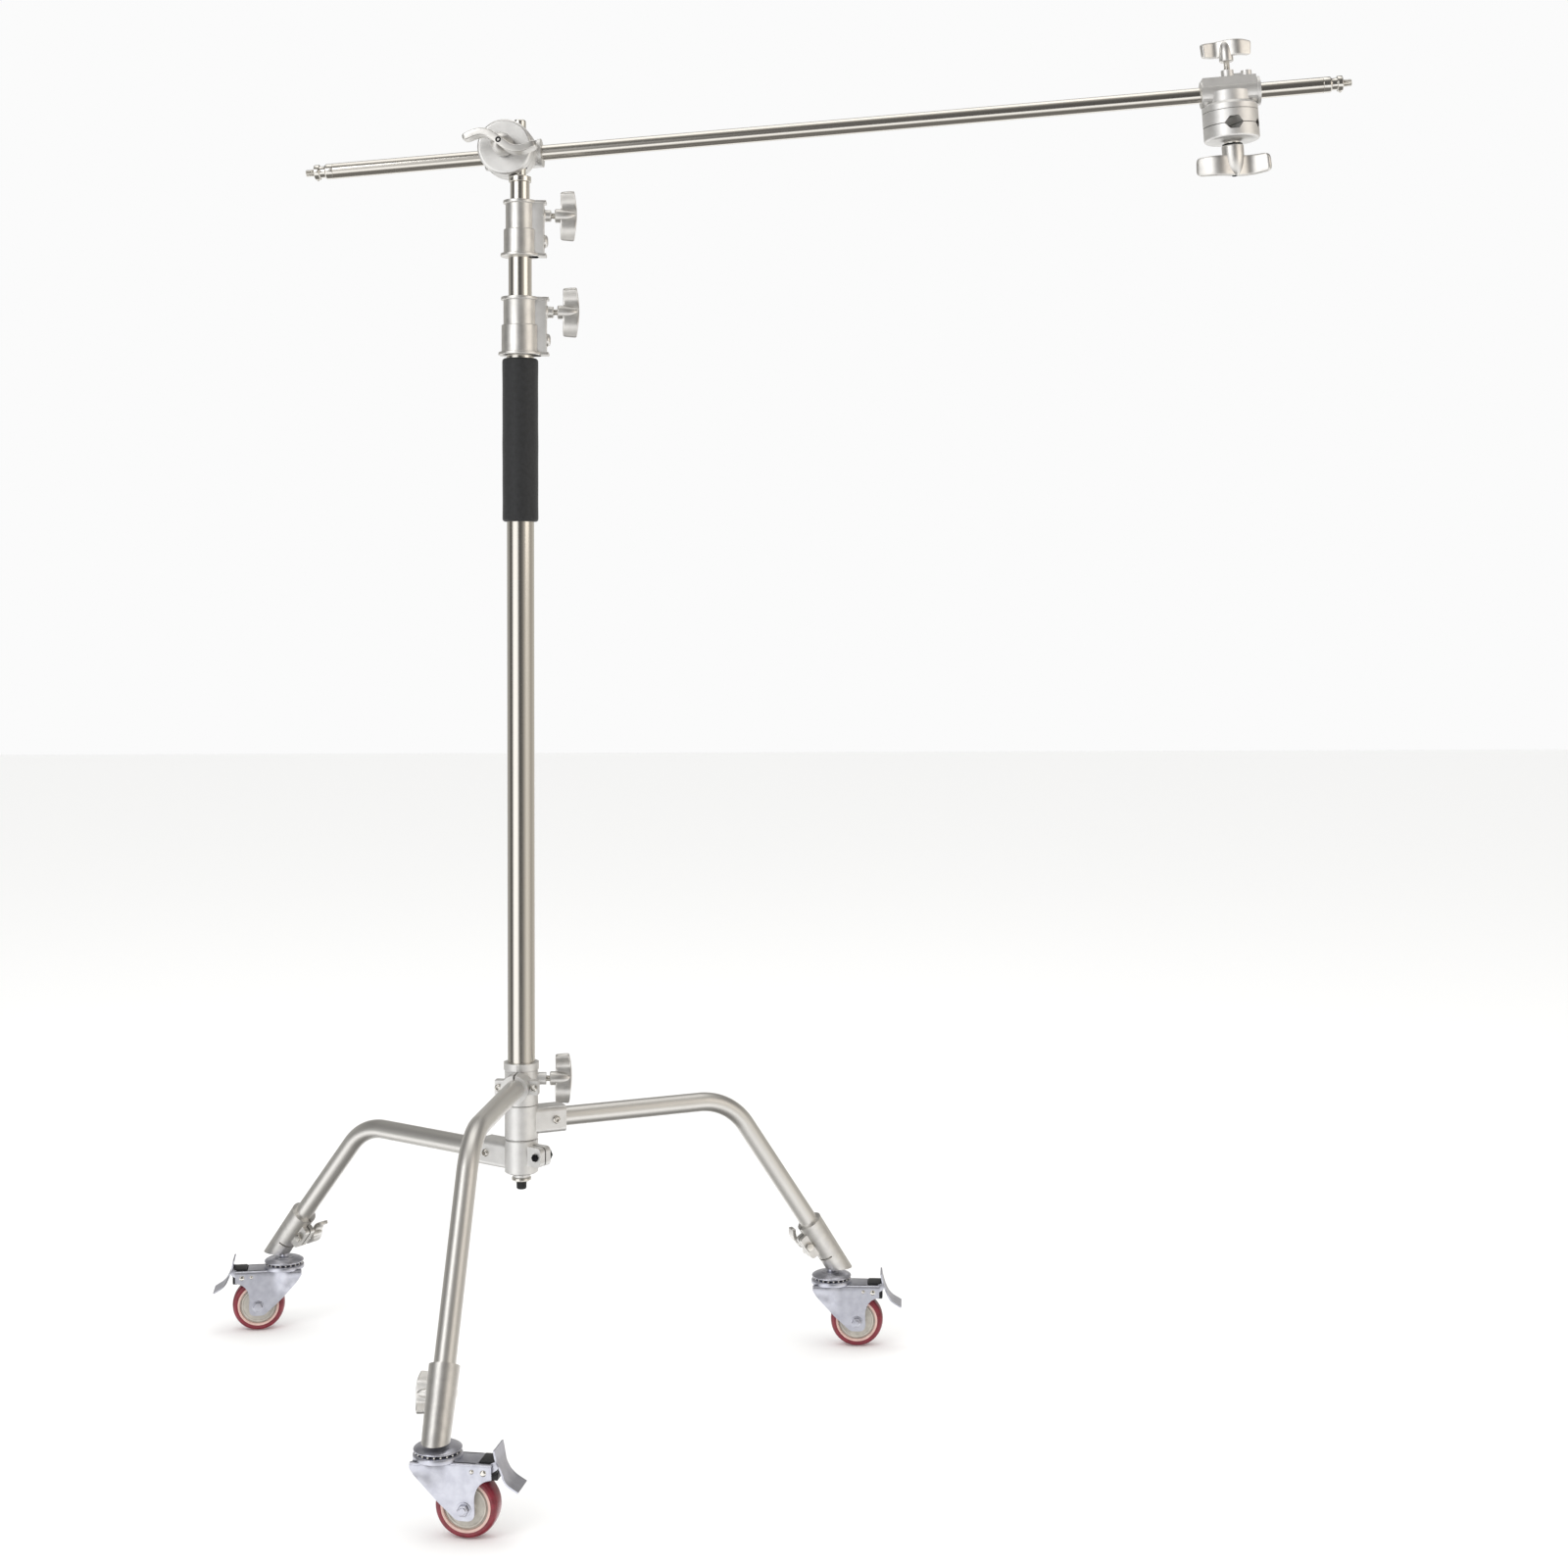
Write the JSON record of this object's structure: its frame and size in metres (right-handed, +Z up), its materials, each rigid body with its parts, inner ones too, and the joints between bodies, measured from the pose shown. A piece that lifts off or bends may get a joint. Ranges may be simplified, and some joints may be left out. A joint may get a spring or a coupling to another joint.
{
  "type": "c stand",
  "caption": "Rolling C-stand: folding bent legs on braked casters, a column with telescoping risers, and a boom arm held and tipped by grip heads.",
  "frame": {"origin": "the column's axis at the level of the floor that the casters stand on", "axes": "+Z up along the column; -Y is the front, where the fixed leg is; the boom reaches out towards +X"},
  "size_m": [1.5159, 0.7828, 1.7479],
  "materials": {
    "satin_casting": "satin tumbled die casting",
    "blasted_casting": "fine blasted die casting",
    "steel_tube": "satin nickel plated steel tube",
    "bright_steel": "zinc plated steel",
    "foam": "matte EVA foam",
    "black_rubber": "matte rubber",
    "nylon": "natural nylon",
    "red_tread": "moulded polyurethane",
    "wheel_plastic": "moulded nylon"
  },
  "bodies": {
    "base": {"base_hub": "blasted_casting", "spindle_plug": "black_rubber", "spindle_nut": "bright_steel", "front_leg": "steel_tube", "front_leg_screws": "bright_steel", "caster_socket_front": "blasted_casting", "caster_cup_front": "bright_steel"},
    "base_knob": {"base_knob": "blasted_casting"},
    "right_leg": {"right_leg_hub": "blasted_casting", "right_leg": "steel_tube", "right_leg_screws": "bright_steel", "caster_socket_right": "blasted_casting", "caster_cup_right": "bright_steel"},
    "left_leg": {"left_leg_hub": "blasted_casting", "left_leg": "steel_tube", "left_leg_screws": "bright_steel", "caster_socket_left": "blasted_casting", "caster_cup_left": "bright_steel"},
    "column": {"column_tube": "steel_tube", "foam_grip": "foam", "lower_collar": "satin_casting", "lower_collar_screw": "bright_steel"},
    "lower_collar_knob": {"lower_collar_knob": "blasted_casting"},
    "riser2": {"riser2_tube": "steel_tube", "riser2_bush": "nylon", "upper_collar": "satin_casting", "upper_collar_screw": "bright_steel"},
    "upper_collar_knob": {"upper_collar_knob": "blasted_casting"},
    "riser3": {"riser3_tube": "steel_tube", "top_stud": "bright_steel"},
    "head1_inner_jaw": {"head1_inner_jaw": "blasted_casting"},
    "head1_outer_jaw": {"head1_outer_jaw": "blasted_casting"},
    "head1_handle": {"head1_handle": "blasted_casting"},
    "head1_block": {"head1_block": "blasted_casting"},
    "head1_block_knob": {"head1_block_knob": "blasted_casting"},
    "boom": {"boom_tube": "steel_tube", "boom_end_studs": "bright_steel"},
    "head2_block": {"head2_block": "blasted_casting"},
    "head2_block_knob": {"head2_block_knob": "blasted_casting"},
    "head2_inner_jaw": {"head2_inner_jaw": "blasted_casting"},
    "head2_outer_jaw": {"head2_outer_jaw": "blasted_casting"},
    "head2_handle": {"head2_handle": "blasted_casting"},
    "socket_knob_front": {"socket_knob_front": "blasted_casting"},
    "caster_front": {"caster_fork_front": "bright_steel", "caster_axle_front": "bright_steel"},
    "wheel_front": {"wheel_tread_front": "red_tread", "wheel_hub_front": "wheel_plastic"},
    "pedal_front": {"brake_pedal_front": "bright_steel"},
    "socket_knob_right": {"socket_knob_right": "blasted_casting"},
    "caster_right": {"caster_fork_right": "bright_steel", "caster_axle_right": "bright_steel"},
    "wheel_right": {"wheel_tread_right": "red_tread", "wheel_hub_right": "wheel_plastic"},
    "pedal_right": {"brake_pedal_right": "bright_steel"},
    "socket_knob_left": {"socket_knob_left": "blasted_casting"},
    "caster_left": {"caster_fork_left": "bright_steel", "caster_axle_left": "bright_steel"},
    "wheel_left": {"wheel_tread_left": "red_tread", "wheel_hub_left": "wheel_plastic"},
    "pedal_left": {"brake_pedal_left": "bright_steel"}
  },
  "joints": [
    {"name": "right_leg_fold", "type": "hinge", "parent": "base", "child": "right_leg", "pos_m": [0, 0, 0.35], "axis": [0, 0, 1], "range_deg": [-100, 0]},
    {"name": "left_leg_fold", "type": "hinge", "parent": "base", "child": "left_leg", "pos_m": [0, 0, 0.307], "axis": [0, 0, 1], "range_deg": [0, 100]},
    {"name": "base_knob_turn", "type": "hinge", "parent": "base", "child": "base_knob", "pos_m": [0.032, 0, 0.407], "axis": [1, 0, 0], "range_deg": [0, 180]},
    {"name": "column_turn", "type": "hinge", "parent": "base", "child": "column", "pos_m": [0, 0, 0.4], "axis": [0, 0, 1], "continuous": true},
    {"name": "lower_collar_knob_turn", "type": "hinge", "parent": "column", "child": "lower_collar_knob", "pos_m": [0.043, 0, 1.398], "axis": [1, 0, 0], "range_deg": [0, 180]},
    {"name": "riser2_lift", "type": "slide", "parent": "column", "child": "riser2", "axis": [0, 0, 1], "range_m": [-0.045, 0.8]},
    {"name": "upper_collar_knob_turn", "type": "hinge", "parent": "riser2", "child": "upper_collar_knob", "pos_m": [0.04, 0, 1.522], "axis": [1, 0, 0], "range_deg": [0, 180]},
    {"name": "riser3_lift", "type": "slide", "parent": "riser2", "child": "riser3", "axis": [0, 0, 1], "range_m": [-0.02, 0.8]},
    {"name": "head1_swivel", "type": "hinge", "parent": "riser3", "child": "head1_inner_jaw", "pos_m": [0, 0, 1.608], "axis": [0, 0, 1], "continuous": true},
    {"name": "head1_jaw_open", "type": "slide", "parent": "head1_inner_jaw", "child": "head1_outer_jaw", "axis": [-0.1045, -0.9945, 0], "range_m": [0, 0.003]},
    {"name": "head1_handle_turn", "type": "hinge", "parent": "head1_outer_jaw", "child": "head1_handle", "pos_m": [-0.01236, 0.04504, 1.608], "axis": [-0.1045, -0.9945, 0], "range_deg": [0, 720]},
    {"name": "boom_tilt", "type": "hinge", "parent": "head1_inner_jaw", "child": "head1_block", "pos_m": [-0.01236, 0.04504, 1.608], "axis": [-0.1045, -0.9945, 0], "range_deg": [-50, 60]},
    {"name": "head1_block_knob_turn", "type": "hinge", "parent": "head1_block", "child": "head1_block_knob", "pos_m": [-0.01236, 0.04504, 1.608], "axis": [0.1045, 0.9945, 0], "range_deg": [0, 180]},
    {"name": "boom_slide", "type": "slide", "parent": "head1_block", "child": "boom", "axis": [0.9917, -0.1042, 0.075], "range_m": [-0.6, 0.17]},
    {"name": "head2_roll", "type": "hinge", "parent": "boom", "child": "head2_block", "pos_m": [0.90994, -0.0519, 1.67773], "axis": [0.9917, -0.1042, 0.075], "continuous": true},
    {"name": "head2_block_knob_turn", "type": "hinge", "parent": "head2_block", "child": "head2_block_knob", "pos_m": [0.90994, -0.0519, 1.67773], "axis": [-0.0746, 0.0078, 0.9972], "range_deg": [0, 180]},
    {"name": "head2_jaw_turn", "type": "hinge", "parent": "head2_block", "child": "head2_inner_jaw", "pos_m": [0.90994, -0.0519, 1.67773], "axis": [0.0746, -0.0078, -0.9972], "continuous": true},
    {"name": "head2_jaw_open", "type": "slide", "parent": "head2_inner_jaw", "child": "head2_outer_jaw", "axis": [0.0746, -0.0078, -0.9972], "range_m": [0, 0.003]},
    {"name": "head2_handle_turn", "type": "hinge", "parent": "head2_outer_jaw", "child": "head2_handle", "pos_m": [0.90994, -0.0519, 1.67773], "axis": [0.0746, -0.0078, -0.9972], "range_deg": [0, 720]},
    {"name": "socket_knob_front_turn", "type": "hinge", "parent": "base", "child": "socket_knob_front", "pos_m": [-0.05716, -0.40674, 0.14255], "axis": [-0.9903, 0.1392, 0], "range_deg": [0, 180]},
    {"name": "caster_front_swivel", "type": "hinge", "parent": "base", "child": "caster_front", "pos_m": [-0.06221, -0.44265, 0.09], "axis": [0, 0, 1], "continuous": true},
    {"name": "wheel_front_spin", "type": "hinge", "parent": "caster_front", "child": "wheel_front", "pos_m": [-0.02797, -0.44993, 0.036], "axis": [0.2079, 0.9781, 0], "continuous": true},
    {"name": "pedal_front_press", "type": "hinge", "parent": "caster_front", "child": "pedal_front", "pos_m": [-0.00646, -0.4545, 0.077], "axis": [0.2079, 0.9781, 0], "range_deg": [0, 8]},
    {"name": "socket_knob_right_turn", "type": "hinge", "parent": "right_leg", "child": "socket_knob_right", "pos_m": [0.37972, 0.15342, 0.14028], "axis": [-0.3746, 0.9272, 0], "range_deg": [0, 180]},
    {"name": "caster_right_swivel", "type": "hinge", "parent": "right_leg", "child": "caster_right", "pos_m": [0.41445, 0.16745, 0.09], "axis": [0, 0, 1], "continuous": true},
    {"name": "wheel_right_spin", "type": "hinge", "parent": "caster_right", "child": "wheel_right", "pos_m": [0.44926, 0.16379, 0.036], "axis": [0.1045, 0.9945, 0], "continuous": true},
    {"name": "pedal_right_press", "type": "hinge", "parent": "caster_right", "child": "pedal_right", "pos_m": [0.47114, 0.16149, 0.077], "axis": [0.1045, 0.9945, 0], "range_deg": [0, 8]},
    {"name": "socket_knob_left_turn", "type": "hinge", "parent": "left_leg", "child": "socket_knob_left", "pos_m": [-0.32115, 0.25091, 0.13543], "axis": [0.6157, 0.788, 0], "range_deg": [0, 180]},
    {"name": "caster_left_swivel", "type": "hinge", "parent": "left_leg", "child": "caster_left", "pos_m": [-0.35224, 0.2752, 0.09], "axis": [0, 0, 1], "continuous": true},
    {"name": "wheel_left_spin", "type": "hinge", "parent": "caster_left", "child": "wheel_left", "pos_m": [-0.38705, 0.27154, 0.036], "axis": [0.1045, -0.9945, 0], "continuous": true},
    {"name": "pedal_left_press", "type": "hinge", "parent": "caster_left", "child": "pedal_left", "pos_m": [-0.40893, 0.26924, 0.077], "axis": [0.1045, -0.9945, 0], "range_deg": [0, 8]}
  ],
  "couplings": [
    {"joint": "head1_handle_turn", "follows": "head1_jaw_open", "rad_per_m": 4188.7},
    {"joint": "head2_handle_turn", "follows": "head2_jaw_open", "rad_per_m": 4188.7}
  ]
}
